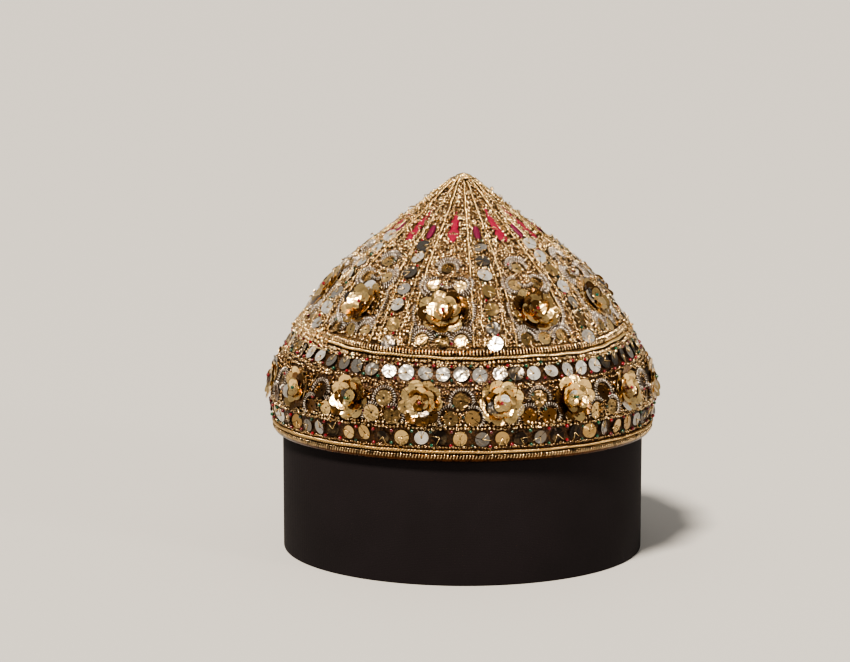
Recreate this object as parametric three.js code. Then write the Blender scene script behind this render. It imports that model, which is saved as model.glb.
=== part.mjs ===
import * as THREE from "three";
import { mergeVertices } from "three/addons/utils/BufferGeometryUtils.js";

// A stiff domed cap worked all over in gilt thread, on the plain open drum that it is shown on.
// Millimetres, +Z up. The origin is the centre of the drum's foot, and the front rib faces -Y.

// Cap cloth
const rimHeight = 60; // the cap's lower edge above the foot of the drum
const rimRadius = 92.4; // outer face of the cloth at the lower edge
const capHeight = 125; // lower edge to the point of the cloth
const clothThickness = 2; // quilted cloth under the metal thread
const seamHeight = 47; // crown seam above the lower edge, at front and back
const seamRise = 5; // how much higher the seam runs at the two sides
const ribSwell = 0.012; // share of the radius by which the ribs stand out of the flatter gores
const pieceGap = 0.3; // running gap between two sewn pieces

// Drum stand
const drumClearance = 0.4; // between the drum and the inside of the cap's lower edge
const drumRadius = rimRadius - clothThickness - drumClearance;
const drumWall = 3;

// Ribs and the discs on them
const ribCount = 10;
const ribHalfTurn = THREE.MathUtils.degToRad(7.2); // half the angle that a rib spans
const ribTape = 0.6; // thickness of a rib between its cords
const ribCord = 1.3; // width of each edge cord
const ribEndRadius = 7; // where the ribs stop, short of the button
const ribDiscCount = 7;
const ribDiscPitch = 9.3;

// Rows of discs round the side band
const rowDiscCount = 64;
const discRadius = 3.7;
const discThickness = 0.7;
const discNeck = 0.9; // half width of the tape where two discs meet
const lowerRowHeight = 11.6; // disc centres above the lower edge
const upperRowDrop = 6.8; // disc centres below the crown seam

// Cords and braids
const seamCordRadius = 1.1;
const braidHeight = 2.6;
const braidThickness = 1.4;
const rimCordRadius = 1.1;
const rimCordHeight = 5.3;
const bindingHeight = 4;
const bindingThickness = 1.5;

// Flowers of spangles
const bandFlowerCount = 16;
const bandFlowerRadius = 11.2;
const bandFlowerHeight = 27.5; // centre above the lower edge
const crownFlowerRadius = 12;
const crownFlowerRise = 19; // centre above the crown seam
const flowerDepth = 3.4;

// Button at the point
const buttonRadius = 4.8;
const buttonDepth = 1.6;

const ringSegments = 50; // five to a rib and its gore, so that facets meet at each rib's edges
const fullTurn = Math.PI * 2;

// The cloth's outline, as shares of capHeight and rimRadius
const outline = [
  { height: 0.0, radius: 1.0 },
  { height: 0.05, radius: 1.015 },
  { height: 0.101, radius: 1.023 },
  { height: 0.157, radius: 1.025 },
  { height: 0.22, radius: 1.015 },
  { height: 0.276, radius: 0.986 },
  { height: 0.343, radius: 0.937 },
  { height: 0.394, radius: 0.895 },
  { height: 0.441, radius: 0.854 },
  { height: 0.496, radius: 0.803 },
  { height: 0.551, radius: 0.749 },
  { height: 0.606, radius: 0.685 },
  { height: 0.661, radius: 0.611 },
  { height: 0.717, radius: 0.522 },
  { height: 0.78, radius: 0.411 },
  { height: 0.835, radius: 0.312 },
  { height: 0.882, radius: 0.228 },
  { height: 0.921, radius: 0.167 },
  { height: 0.961, radius: 0.1 },
  { height: 0.988, radius: 0.052 },
  { height: 1.0, radius: 0.0 },
];

// Radius of the cloth at a height above the lower edge, read off the outline as a smooth curve.
function clothRadius(height) {
  const share = THREE.MathUtils.clamp(height / capHeight, 0, 1);
  const last = outline.length - 1;
  const above = outline.findIndex((row) => row.height >= share);
  const i = Math.max(1, above);
  const [a, b] = [outline[i - 1], outline[i]];
  const before = outline[Math.max(0, i - 2)];
  const after = outline[Math.min(last, i + 1)];
  const span = b.height - a.height;
  const slopeA = ((b.radius - before.radius) / (b.height - before.height)) * span;
  const slopeB = ((after.radius - a.radius) / (after.height - a.height)) * span;
  const t = (share - a.height) / span;
  const curve =
    a.radius * (2 * t ** 3 - 3 * t ** 2 + 1) +
    slopeA * (t ** 3 - 2 * t ** 2 + t) +
    b.radius * (3 * t ** 2 - 2 * t ** 3) +
    slopeB * (t ** 3 - t ** 2);
  return Math.max(0, curve) * rimRadius;
}

// The ribs stand out of the crown, and fade into a round side band.
function ribbedRadius(turn, height) {
  const fade = THREE.MathUtils.smoothstep(height, seamHeight * 0.8, seamHeight * 1.4);
  return clothRadius(height) * (1 + ribSwell * fade * Math.cos(ribCount * turn));
}

// A point on the cap: turn is the angle round from the front, height is above the lower edge,
// and lift is the distance out of the cloth's outer face.
function capPoint(turn, height, lift) {
  const radius = ribbedRadius(turn, height);
  const step = 0.2;
  const slope = (clothRadius(height + step) - clothRadius(height - step)) / (2 * step);
  const length = Math.hypot(1, slope);
  const onAxis = radius < 1e-6;
  const reach = onAxis ? 0 : Math.max(0, radius + lift / length);
  const rise = onAxis ? lift : (-slope * lift) / length;
  return new THREE.Vector3(
    reach * Math.sin(turn),
    -reach * Math.cos(turn),
    rimHeight + height + rise,
  );
}

function seamAt(turn) {
  return seamHeight + seamRise * Math.sin(turn) ** 4;
}

// Height reached after going a distance up the cloth from a starting height.
function climb(start, distance) {
  const step = 0.25;
  let height = start;
  let gone = 0;
  while (gone < distance && height < capHeight - step) {
    gone += Math.hypot(step, clothRadius(height + step) - clothRadius(height));
    height += step;
  }
  return height;
}

// Height at which the narrowing crown comes down to a radius
function heightAtRadius(radius) {
  const step = 0.1;
  let height = capHeight;
  while (height > seamHeight / 2 && clothRadius(height) < radius) height -= step;
  return height;
}

// One closed body: shared vertices merged, and triangles with no area left out.
function closedBody(geometry) {
  const bare = geometry.index ? geometry.toNonIndexed() : geometry;
  bare.deleteAttribute("normal");
  bare.deleteAttribute("uv");
  const merged = mergeVertices(bare, 1e-3);
  const corners = merged.index.array;
  const kept = [];
  for (let i = 0; i < corners.length; i += 3) {
    const [a, b, c] = [corners[i], corners[i + 1], corners[i + 2]];
    if (a !== b && b !== c && c !== a) kept.push(a, b, c);
  }
  merged.setIndex(kept);
  merged.computeVertexNormals();
  return merged;
}

// A ring round the cap: section is a closed list, and place(turn, corner, station) gives each point.
function ringBody(section, segments, place) {
  const points = section.map((corner, j) => new THREE.Vector2(1 + j, j));
  const lathe = new THREE.LatheGeometry(points, segments);
  const position = lathe.attributes.position;
  for (let i = 0; i <= segments; i++) {
    for (let j = 0; j < section.length; j++) {
      const station = i % segments;
      const p = place((fullTurn * station) / segments, section[j], station);
      position.setXYZ(i * section.length + j, p.x, p.y, p.z);
    }
  }
  return closedBody(lathe);
}

// Bends a flat piece onto the cap: its x is a turn, its y a height and its z a lift.
function bendOnCap(geometry, place) {
  const position = geometry.attributes.position;
  for (let i = 0; i < position.count; i++) {
    const p = place(position.getX(i), position.getY(i), position.getZ(i));
    position.setXYZ(i, p.x, p.y, p.z);
  }
  return closedBody(geometry);
}

function finish(color, roughness, metalness) {
  return new THREE.MeshStandardMaterial({ color, roughness, metalness });
}

const giltGround = finish(0xa98544, 0.55, 0.8);
const giltCord = finish(0xd8b56c, 0.4, 0.9);
const giltSpangle = finish(0xc89a45, 0.25, 1);
const silverDisc = finish(0xb9b6ae, 0.3, 0.9);
const paleThread = finish(0xd9c39a, 0.5, 0.6);
const drumCloth = finish(0x2c2528, 0.9, 0);

function piece(name, geometry, material) {
  const mesh = new THREE.Mesh(geometry, material);
  mesh.name = name;
  return mesh;
}

function numbered(name, index) {
  return `${name}_${String(index + 1).padStart(2, "0")}`;
}

// A ring section as a regular polygon about (height, lift)
function roundSection(height, lift, radius, sides) {
  return Array.from({ length: sides + 1 }, (_, k) => {
    const angle = (fullTurn * (k % sides)) / sides;
    return { height: height + radius * Math.sin(angle), lift: lift + radius * Math.cos(angle) };
  });
}

// Heights of the crown's rows of facets: the foot, the rows that the ribs share, and the point
const ribSteps = 8;
const ribFoot = seamCordRadius + braidHeight + 3 * pieceGap; // above the crown seam
const ribTop = heightAtRadius(ribEndRadius);

function ribHeight(turn, share) {
  const foot = seamAt(turn) + ribFoot;
  return foot + (ribTop - foot) * share;
}

function crown() {
  const innerSteps = 3;
  const section = [{ lift: 0, height: (turn) => seamAt(turn) + pieceGap / 2 }];
  for (let k = 0; k <= ribSteps; k++) {
    section.push({ lift: 0, height: (turn) => ribHeight(turn, k / ribSteps) });
  }
  section.push({ lift: 0, height: () => capHeight });
  for (let k = innerSteps; k >= 0; k--) {
    const share = k / innerSteps;
    const height = (turn) => {
      const foot = seamAt(turn) + pieceGap / 2;
      return foot + (capHeight - foot) * share;
    };
    section.push({ lift: -clothThickness, height });
  }
  section.push(section[0]);
  return ringBody(section, ringSegments, (turn, corner) =>
    capPoint(turn, corner.height(turn), corner.lift),
  );
}

function sideBand() {
  const steps = 5;
  const outside = [];
  for (let k = 0; k <= steps; k++) outside.push({ share: k / steps, lift: 0 });
  const inside = outside.map((corner) => ({ share: corner.share, lift: -clothThickness }));
  const section = [...outside, ...inside.reverse(), outside[0]];
  return ringBody(section, ringSegments, (turn, corner) => {
    const top = seamAt(turn) - pieceGap / 2;
    return capPoint(turn, top * corner.share, corner.lift);
  });
}

function seamCord() {
  const section = roundSection(0, pieceGap + seamCordRadius, seamCordRadius, 4);
  return ringBody(section, ringSegments, (turn, corner) =>
    capPoint(turn, seamAt(turn) + corner.height, corner.lift),
  );
}

function seamBraid() {
  const foot = seamCordRadius + pieceGap;
  const low = pieceGap;
  const high = pieceGap + braidThickness;
  const section = [
    { height: foot, lift: low },
    { height: foot, lift: high },
    { height: foot + braidHeight, lift: high },
    { height: foot + braidHeight, lift: low },
    { height: foot, lift: low },
  ];
  return ringBody(section, ringSegments, (turn, corner) =>
    capPoint(turn, seamAt(turn) + corner.height, corner.lift),
  );
}

function rimCord() {
  const section = roundSection(rimCordHeight, pieceGap + rimCordRadius, rimCordRadius, 4);
  return ringBody(section, ringSegments, (turn, corner) =>
    capPoint(turn, corner.height, corner.lift),
  );
}

// The rolled edge is rounded outside and flat against the cloth.
function rimBinding() {
  const low = pieceGap;
  const high = pieceGap + bindingThickness;
  const section = [
    { height: 0, lift: low },
    { height: 0, lift: (low + high) / 2 },
    { height: bindingHeight / 2, lift: high },
    { height: bindingHeight, lift: (low + high) / 2 },
    { height: bindingHeight, lift: low },
    { height: 0, lift: low },
  ];
  return ringBody(section, ringSegments, (turn, corner) =>
    capPoint(turn, corner.height, corner.lift),
  );
}

// Half width of a string of discs: narrow at each neck, full across each disc.
function discHalfWidth(station, stationsPerDisc) {
  return station % stationsPerDisc === 0 ? discNeck : discRadius;
}

// A row of discs is a tape round the band, nipped in between one disc and the next.
function discRow(centre) {
  const stationsPerDisc = 3;
  const section = [
    { side: -1, lift: pieceGap },
    { side: 0, lift: pieceGap + discThickness },
    { side: 1, lift: pieceGap },
    { side: -1, lift: pieceGap },
  ];
  return ringBody(section, rowDiscCount * stationsPerDisc, (turn, corner, station) =>
    capPoint(
      turn,
      centre(turn) + corner.side * discHalfWidth(station, stationsPerDisc),
      corner.lift,
    ),
  );
}

// A rib is a narrow tape with a cord along each edge, from the seam braid to near the button.
// Its corners are drawn flat: side is -2 to 2 across the rib, and level picks one of the lifts.
const ribLifts = [pieceGap, pieceGap + ribTape, pieceGap + ribCord];
const ribCorners = [
  { side: -2, level: 0 },
  { side: 0, level: 0 },
  { side: 2, level: 0 },
  { side: 2, level: 2 },
  { side: 1, level: 2 },
  { side: 1, level: 1 },
  { side: 0, level: 1 },
  { side: -1, level: 1 },
  { side: -1, level: 2 },
  { side: -2, level: 2 },
];

// Half width of a rib's tape between its cords, at a height
function tapeHalfWidth(height) {
  const half = clothRadius(height) * ribHalfTurn;
  return half - Math.min(ribCord, 0.45 * half);
}

function rib(ribTurn) {
  const shape = new THREE.Shape(ribCorners.map((c) => new THREE.Vector2(c.side, c.level)));
  const settings = { depth: 1, steps: ribSteps, bevelEnabled: false };
  const strip = new THREE.ExtrudeGeometry(shape, settings);
  return bendOnCap(strip, (x, y, z) => {
    const height = ribHeight(ribTurn, z);
    const inside = tapeHalfWidth(height) / clothRadius(height);
    const reach = [0, inside, ribHalfTurn][Math.abs(Math.round(x))];
    const turn = ribTurn - Math.sign(x) * reach;
    return capPoint(turn, ribHeight(turn, z), ribLifts[Math.round(y)]);
  });
}

// The discs down the middle of a rib, seated on its tape
function ribDiscs(ribTurn) {
  const stationsPerDisc = 2;
  const stations = ribDiscCount * stationsPerDisc;
  const strip = new THREE.BoxGeometry(1, 1, 1, 1, stations, 1);
  const low = 2 * pieceGap + ribTape;
  const foot = ribHeight(ribTurn, 0) + pieceGap;
  return bendOnCap(strip, (x, y, z) => {
    const station = Math.round((y + 0.5) * stations);
    const height = climb(foot, (station / stationsPerDisc) * ribDiscPitch);
    const discHalf = discHalfWidth(station, stationsPerDisc);
    const half = Math.min(discHalf, tapeHalfWidth(height) - pieceGap);
    const across = 2 * x * half;
    return capPoint(ribTurn + across / clothRadius(height), height, low + (z + 0.5) * discThickness);
  });
}

// A flower of cupped spangles: its six petals lift at their tips round a raised heart.
function flower(radius) {
  const petals = 6;
  const segments = petals * 2;
  const profile = [
    new THREE.Vector2(0, 0),
    new THREE.Vector2(radius * 0.78, 0),
    new THREE.Vector2(radius, flowerDepth * 0.62),
    new THREE.Vector2(radius * 0.5, flowerDepth),
    new THREE.Vector2(0, flowerDepth * 0.7),
  ];
  const lathe = new THREE.LatheGeometry(profile, segments);
  const position = lathe.attributes.position;
  for (let i = 0; i <= segments; i++) {
    const nip = i % 2 === 0 ? 1 : 0.84;
    for (let j = 0; j < profile.length; j++) {
      const k = i * profile.length + j;
      position.setXYZ(k, position.getX(k) * nip, position.getY(k), position.getZ(k) * nip);
    }
  }
  return closedBody(lathe);
}

// Sets a flower flat on the cloth, its axis along the outward normal.
function setOnCap(mesh, turn, height, lift) {
  const seat = capPoint(turn, height, lift);
  const out = capPoint(turn, height, lift + 1).sub(seat).normalize();
  mesh.position.copy(seat);
  mesh.quaternion.setFromUnitVectors(new THREE.Vector3(0, 1, 0), out);
  return mesh;
}

// The button is a small dome that hides where the cords meet.
function button() {
  const rows = [0, 0.45, 0.8, 1];
  const section = rows.map((share) => ({ share, lift: pieceGap }));
  for (let k = rows.length - 1; k >= 0; k--) {
    const swell = Math.sqrt(1 - (rows[k] * 0.93) ** 2);
    section.push({ share: rows[k], lift: pieceGap + buttonDepth * swell });
  }
  const heights = rows.map((share) => (share ? heightAtRadius(share * buttonRadius) : capHeight));
  return ringBody(section, 16, (turn, corner) =>
    capPoint(turn, heights[rows.indexOf(corner.share)], corner.lift),
  );
}

function drum() {
  const inner = drumRadius - drumWall;
  const top = rimHeight + heightAtRadius(drumRadius + clothThickness + 2 * pieceGap);
  const profile = [
    new THREE.Vector2(drumRadius, 0),
    new THREE.Vector2(drumRadius, top),
    new THREE.Vector2(inner, top),
    new THREE.Vector2(inner, 0),
    new THREE.Vector2(drumRadius, 0),
  ];
  const lathe = new THREE.LatheGeometry(profile, ringSegments);
  lathe.rotateX(Math.PI / 2);
  return closedBody(lathe);
}

const cap = new THREE.Group();
cap.add(piece("crown", crown(), giltGround));
cap.add(piece("side_band", sideBand(), giltGround));
cap.add(piece("seam_cord", seamCord(), giltCord));
cap.add(piece("seam_braid", seamBraid(), giltCord));
cap.add(piece("rim_cord", rimCord(), giltCord));
cap.add(piece("rim_binding", rimBinding(), giltCord));
cap.add(piece("upper_disc_row", discRow((turn) => seamAt(turn) - upperRowDrop), silverDisc));
cap.add(piece("lower_disc_row", discRow(() => lowerRowHeight), silverDisc));
cap.add(piece("button", button(), paleThread));

for (let k = 0; k < ribCount; k++) {
  const ribTurn = (fullTurn * k) / ribCount;
  const goreTurn = ribTurn + fullTurn / ribCount / 2;
  cap.add(piece(numbered("rib", k), rib(ribTurn), giltCord));
  cap.add(piece(numbered("rib_discs", k), ribDiscs(ribTurn), silverDisc));
  const flowerMesh = piece(numbered("crown_flower", k), flower(crownFlowerRadius), giltSpangle);
  const flowerHeight = seamAt(goreTurn) + crownFlowerRise;
  cap.add(setOnCap(flowerMesh, goreTurn, flowerHeight, pieceGap));
}

for (let k = 0; k < bandFlowerCount; k++) {
  const flowerTurn = (fullTurn * k) / bandFlowerCount;
  const flowerMesh = piece(numbered("band_flower", k), flower(bandFlowerRadius), giltSpangle);
  cap.add(setOnCap(flowerMesh, flowerTurn, bandFlowerHeight, pieceGap));
}

cap.add(piece("drum_stand", drum(), drumCloth));

export default cap;
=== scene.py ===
import math

import bmesh
import bpy
import numpy as np
from mathutils import Matrix, Vector


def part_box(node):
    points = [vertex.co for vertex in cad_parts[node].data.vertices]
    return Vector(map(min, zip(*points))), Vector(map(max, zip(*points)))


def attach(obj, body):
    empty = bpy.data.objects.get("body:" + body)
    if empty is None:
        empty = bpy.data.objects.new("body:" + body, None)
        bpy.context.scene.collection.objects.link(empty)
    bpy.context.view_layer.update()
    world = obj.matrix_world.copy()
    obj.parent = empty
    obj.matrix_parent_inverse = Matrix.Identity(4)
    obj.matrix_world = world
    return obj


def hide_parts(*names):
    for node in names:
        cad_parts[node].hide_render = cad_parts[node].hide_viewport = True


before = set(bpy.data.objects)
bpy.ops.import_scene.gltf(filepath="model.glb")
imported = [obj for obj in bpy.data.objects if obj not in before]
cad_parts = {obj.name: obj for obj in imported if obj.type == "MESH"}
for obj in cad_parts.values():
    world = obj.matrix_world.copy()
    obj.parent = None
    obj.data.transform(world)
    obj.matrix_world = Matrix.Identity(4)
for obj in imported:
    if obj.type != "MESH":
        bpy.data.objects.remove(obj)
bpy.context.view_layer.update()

# A stiff domed cap worked in gilt thread, spangles, silver discs and beads, on a plain drum.
# Lengths are in mm unless a name says otherwise, and the front rib faces -Y.

mm = 0.001
fullTurn = 2 * math.pi
rng = np.random.default_rng(11)


# Sizes that the frame gives

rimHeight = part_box("side_band")[0].z / mm
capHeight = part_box("crown")[1].z / mm - rimHeight
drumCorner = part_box("drum_stand")[1]

cloth = {
    "rimRadius": 92.4,       # outer face at the lower edge
    "thickness": 2.0,
    "seamHeight": 47.0,      # crown seam above the lower edge, front and back
    "seamRise": 5.0,         # how much higher it runs at the sides
    "ribSwell": 0.012,
    "swellFrom": 0.8,        # where the ribs' swell starts and how far it takes, shares of seamHeight
    "swellOver": 0.6,
    "ribCount": 10,
    "ribHalfTurn": math.radians(7.2),
    "ribEndRadius": 6.0,
}

# The cloth's outline as shares of capHeight and rimRadius, the same as in the solids
outline = [
    (0.0, 1.0), (0.05, 1.015), (0.101, 1.023), (0.157, 1.025), (0.22, 1.015), (0.276, 0.986),
    (0.343, 0.937), (0.394, 0.895), (0.441, 0.854), (0.496, 0.803), (0.551, 0.749), (0.606, 0.685),
    (0.661, 0.611), (0.717, 0.522), (0.78, 0.411), (0.835, 0.312), (0.882, 0.228), (0.921, 0.167),
    (0.961, 0.1), (0.988, 0.052), (1.0, 0.0),
]


# The cap's surface

def outlineRadius(share):
    # a smooth curve through the outline's points
    last = len(outline) - 1
    i = next(k for k in range(1, last + 1) if outline[k][0] >= share)
    (beforeHeight, beforeRadius), (lowHeight, lowRadius) = outline[max(0, i - 2)], outline[i - 1]
    (highHeight, highRadius), (afterHeight, afterRadius) = outline[i], outline[min(last, i + 1)]
    span = highHeight - lowHeight
    slopeLow = (highRadius - beforeRadius) / (highHeight - beforeHeight) * span
    slopeHigh = (afterRadius - lowRadius) / (afterHeight - lowHeight) * span
    t = (share - lowHeight) / span
    curve = lowRadius * (2 * t**3 - 3 * t**2 + 1) + slopeLow * (t**3 - 2 * t**2 + t)
    curve += highRadius * (3 * t**2 - 2 * t**3) + slopeHigh * (t**3 - t**2)
    return max(0.0, curve)


# the outline read about every 0.1 mm, with the distance up the cloth to each reading
heightSteps = np.linspace(0, capHeight, 1251)
radiusSteps = np.array([outlineRadius(h / capHeight) * cloth["rimRadius"] for h in heightSteps])
pathSteps = np.concatenate([[0], np.cumsum(np.hypot(np.diff(heightSteps), np.diff(radiusSteps)))])


def evenTurns(count):
    return np.arange(count) * fullTurn / count


def clothRadius(height):
    return np.interp(height, heightSteps, radiusSteps)


def heightWhere(radius):
    # height at which the narrowing crown comes down to a radius
    start = int(np.argmax(radiusSteps))
    return float(np.interp(-radius, -radiusSteps[start:], heightSteps[start:]))


def climb(height, distance):
    # height reached after a distance up the cloth
    return np.interp(np.interp(height, heightSteps, pathSteps) + distance, pathSteps, heightSteps)


def seamAt(turn):
    return cloth["seamHeight"] + cloth["seamRise"] * np.sin(turn) ** 4


def lowerEdge(turn):
    return 0 * turn


def lineAbove(line, rise):
    # a line round the cap that runs at an even height above another
    return lambda turn: line(turn) + rise


def clothSlope(height):
    step = 0.2
    return (clothRadius(height + step) - clothRadius(height - step)) / (2 * step)


def capPoint(turn, height, lift):
    # turn is the angle round from the front, lift the distance out of the cloth's outer face
    turn, height, lift = np.broadcast_arrays(turn, height, lift)
    seam = cloth["seamHeight"]
    rise = np.clip((height - seam * cloth["swellFrom"]) / (seam * cloth["swellOver"]), 0, 1)
    swell = cloth["ribSwell"] * rise * rise * (3 - 2 * rise) * np.cos(cloth["ribCount"] * turn)
    slope = clothSlope(height)
    length = np.hypot(1, slope)
    reach = np.maximum(0, clothRadius(height) * (1 + swell) + lift / length)
    tall = rimHeight + height - slope * lift / length
    return np.stack([reach * np.sin(turn), -reach * np.cos(turn), tall], -1) * mm


def capAxes(turn, height):
    # east along the cloth, up along the cloth and out of it, as the columns of a matrix
    turn, height = np.broadcast_arrays(turn, height)
    slope = clothSlope(height)
    length = np.hypot(1, slope)
    sin, cos, zero = np.sin(turn), np.cos(turn), np.zeros_like(turn)
    east = np.stack([cos, sin, zero], -1)
    up = np.stack([slope * sin, -slope * cos, zero + 1], -1) / length[..., None]
    out = np.stack([sin, -cos, -slope], -1) / length[..., None]
    return np.stack([east, up, out], -1)


def besides(turn, height, x, y):
    # the turn and height of a place x mm east and y mm up the cloth from another
    newHeight = climb(height, y)
    return turn + x / np.maximum(clothRadius(newHeight), 1.0), newHeight


def anyAngle(number=None):
    return rng.uniform(0, fullTurn, number)


def chosenTints(shares, number=None):
    # tints drawn from a dictionary that gives each one its share
    return rng.choice(list(shares), number, p=list(shares.values()))


def joined(places):
    # arrays of turns and of heights from a list of pairs
    turns, heights = zip(*places)
    return np.concatenate(turns), np.concatenate(heights)


def strayed(turn, height, aside, tall):
    # places moved at random along the cloth and up it
    number = len(turn)
    moved = turn + rng.normal(0, aside, number) / clothRadius(height)
    return moved, height + rng.normal(0, tall, number)


# Making and joining meshes

def addObject(name, data):
    made = bpy.data.objects.new(name, data)
    bpy.context.scene.collection.objects.link(made)
    return made


def faceStarts(counts):
    return np.concatenate([[0], np.cumsum(counts)[:-1]])


def facingOut(shape):
    # turns every face round if the shape encloses less than nothing
    points, corners, counts = shape["points"], shape["corners"], shape["counts"]
    first, size = np.repeat(faceStarts(counts), counts), np.repeat(counts, counts)
    place = np.arange(len(corners)) - first
    a, b = points[corners], points[corners[first + (place + 1) % size]]
    if np.einsum("ij,ij->", points[corners[first]], np.cross(a, b)) < 0:
        shape["corners"] = corners[first + size - 1 - place]
    return shape


def takeShape(bm):
    # arrays of a small shape, whose z is out of the cloth and y up it, in mm
    bmesh.ops.recalc_face_normals(bm, faces=bm.faces)
    bm.verts.index_update()
    shape = {
        "points": np.array([v.co for v in bm.verts]),
        "corners": np.array([v.index for f in bm.faces for v in f.verts]),
        "counts": np.array([len(f.verts) for f in bm.faces]),
    }
    bm.free()
    return facingOut(shape)


def spinAbout(bm, geom, angle, steps, sides):
    # spins an outline about z, and closes both ends where it stops short of the whole turn
    whole = angle == fullTurn
    bmesh.ops.spin(
        bm, geom=geom, cent=(0, 0, 0), axis=(0, 0, 1), angle=angle, steps=steps, use_merge=whole
    )
    bmesh.ops.remove_doubles(bm, verts=bm.verts, dist=1e-5)
    if not whole:
        bmesh.ops.holes_fill(bm, edges=[e for e in bm.edges if e.is_boundary], sides=sides)


def spinShape(profile, steps, angle=fullTurn):
    # turns a closed profile of (radius, height) about z
    bm = bmesh.new()
    corners = [bm.verts.new((x, 0, z)) for x, z in profile]
    edges = [bm.edges.new(pair) for pair in zip(corners, corners[1:] + corners[:1])]
    spinAbout(bm, corners + edges, angle, steps, len(profile))
    return bm


def wireLoop(ringRadius, wireRadius, angle, steps, sides):
    # a ring, or an open hook, of round wire
    bm = bmesh.new()
    spot = Matrix.Translation((ringRadius, 0, 0)) @ Matrix.Rotation(math.pi / 2, 4, "X")
    made = bmesh.ops.create_circle(bm, segments=sides, radius=wireRadius, matrix=spot)
    spinAbout(bm, made["verts"] + list(bm.edges), angle, steps, sides)
    return takeShape(bm)


def beadShape(radius, around, tall):
    bm = bmesh.new()
    bmesh.ops.create_uvsphere(bm, u_segments=around, v_segments=tall, radius=radius)
    return takeShape(bm)


def copies(shape, origins, axes, tints, slotIndex=0):
    # one batch of a piece: the shape set down at each origin (metres) on its axes (unit or scaled)
    return {"shape": shape, "origins": origins, "axes": axes, "tints": tints, "slot": slotIndex}


def asBatch(shape, tint):
    # one batch for a shape that is already in place, in metres
    return {"shape": shape, "origins": None, "axes": None, "tints": np.array([tint]), "slot": 0}


def placedCopies(batch, base):
    # a batch's copies as arrays, their vertices counted from base
    shape = batch["shape"]
    size = len(shape["points"])
    placed = shape["points"][None]
    if batch["origins"] is not None:
        bent = np.einsum("nij,pj->npi", batch["axes"], shape["points"]) * mm
        placed = batch["origins"][:, None, :] + bent
    number = len(placed)
    faces = number * len(shape["counts"])
    offsets = base + np.arange(number) * size
    return {
        "points": placed.reshape(-1, 3),
        "corners": (shape["corners"][None, :] + offsets[:, None]).ravel(),
        "counts": np.tile(shape["counts"], number),
        "tints": np.repeat(np.broadcast_to(batch["tints"], number), size),
        "flats": np.tile(shape.get("flat", shape["points"]), (number, 1)),
        "slots": np.full(faces, batch["slot"]),
        "smooth": np.full(faces, shape.get("smooth", True)),
    }


def makePiece(name, batches, materials, replaced=()):
    placed, base = [], 0
    for batch in batches:
        placed.append(placedCopies(batch, base))
        base += len(placed[-1]["points"])
    whole = {key: np.concatenate([part[key] for part in placed]) for key in placed[0]}
    mesh = bpy.data.meshes.new(name)
    mesh.vertices.add(base)
    mesh.loops.add(len(whole["corners"]))
    mesh.polygons.add(len(whole["counts"]))
    mesh.vertices.foreach_set("co", whole["points"].ravel())
    mesh.loops.foreach_set("vertex_index", whole["corners"].astype(np.int32))
    mesh.polygons.foreach_set("loop_start", faceStarts(whole["counts"]).astype(np.int32))
    mesh.polygons.foreach_set("use_smooth", whole["smooth"])
    mesh.polygons.foreach_set("material_index", whole["slots"].astype(np.int32))
    mesh.attributes.new("tint", "FLOAT", "POINT").data.foreach_set("value", whole["tints"])
    flat = mesh.attributes.new("flat", "FLOAT_VECTOR", "POINT")
    flat.data.foreach_set("vector", whole["flats"].ravel())
    mesh.update(calc_edges=True)
    for material in materials:
        mesh.materials.append(material)
    piece = addObject(name, mesh)
    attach(piece, "root")
    if replaced:
        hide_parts(*replaced)
    print(name, int(np.sum(whole["counts"] - 2)), "triangles")
    return piece


def readArray(items, key, width, kind):
    values = np.empty(len(items) * width, dtype=kind)
    items.foreach_get(key, values)
    return values


def windWire(paths, wireRadius, closed=False, roundness=0):
    # round wire along each path (metres), made by a curve and read back as one shape
    curve = bpy.data.curves.new("wire", "CURVE")
    curve.dimensions = "3D"
    curve.bevel_depth = wireRadius * mm
    curve.bevel_resolution = roundness
    curve.use_fill_caps = not closed
    for path in paths:
        spline = curve.splines.new("POLY")
        spline.points.add(len(path) - 1)
        spline.points.foreach_set("co", np.c_[path, np.ones(len(path))].ravel())
        spline.use_cyclic_u = closed
    wound = addObject("wire", curve)
    seen = wound.evaluated_get(bpy.context.evaluated_depsgraph_get())
    mesh = bpy.data.meshes.new_from_object(seen)
    shape = {
        "points": readArray(mesh.vertices, "co", 3, float).reshape(-1, 3),
        "corners": readArray(mesh.loops, "vertex_index", 1, np.int32),
        "counts": readArray(mesh.polygons, "loop_total", 1, np.int32),
    }
    bpy.data.objects.remove(wound)
    bpy.data.curves.remove(curve)
    bpy.data.meshes.remove(mesh)
    return facingOut(shape)


def pathLength(points):
    # in mm, along points in metres
    return np.sum(np.linalg.norm(np.diff(points, axis=0), axis=1)) / mm


def twist(centres, outs, sides, pitch, radius, phase=0.0):
    # a strand that winds round a path: centres in metres, pitch and radius in mm
    steps = np.linalg.norm(np.diff(centres, axis=0), axis=1)
    along = np.concatenate([[0], np.cumsum(steps)]) / mm
    angle = (along / pitch * fullTurn + phase)[:, None]
    return centres + (np.cos(angle) * outs + np.sin(angle) * sides) * radius * mm


def plied(centres, outs, sides, pitch, spread):
    # two strands wound round each other along a path
    return [twist(centres, outs, sides, pitch, spread, phase) for phase in (0, math.pi)]


def clothPath(turn, height, lift):
    # centres, outward directions and sideways directions along a path on the cap
    centres = capPoint(turn, height, lift)
    outs = capAxes(turn, height)[..., 2]
    along = np.gradient(centres, axis=0)
    along /= np.linalg.norm(along, axis=1)[:, None]
    sides = np.cross(outs, along)
    return centres, outs, sides


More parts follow.
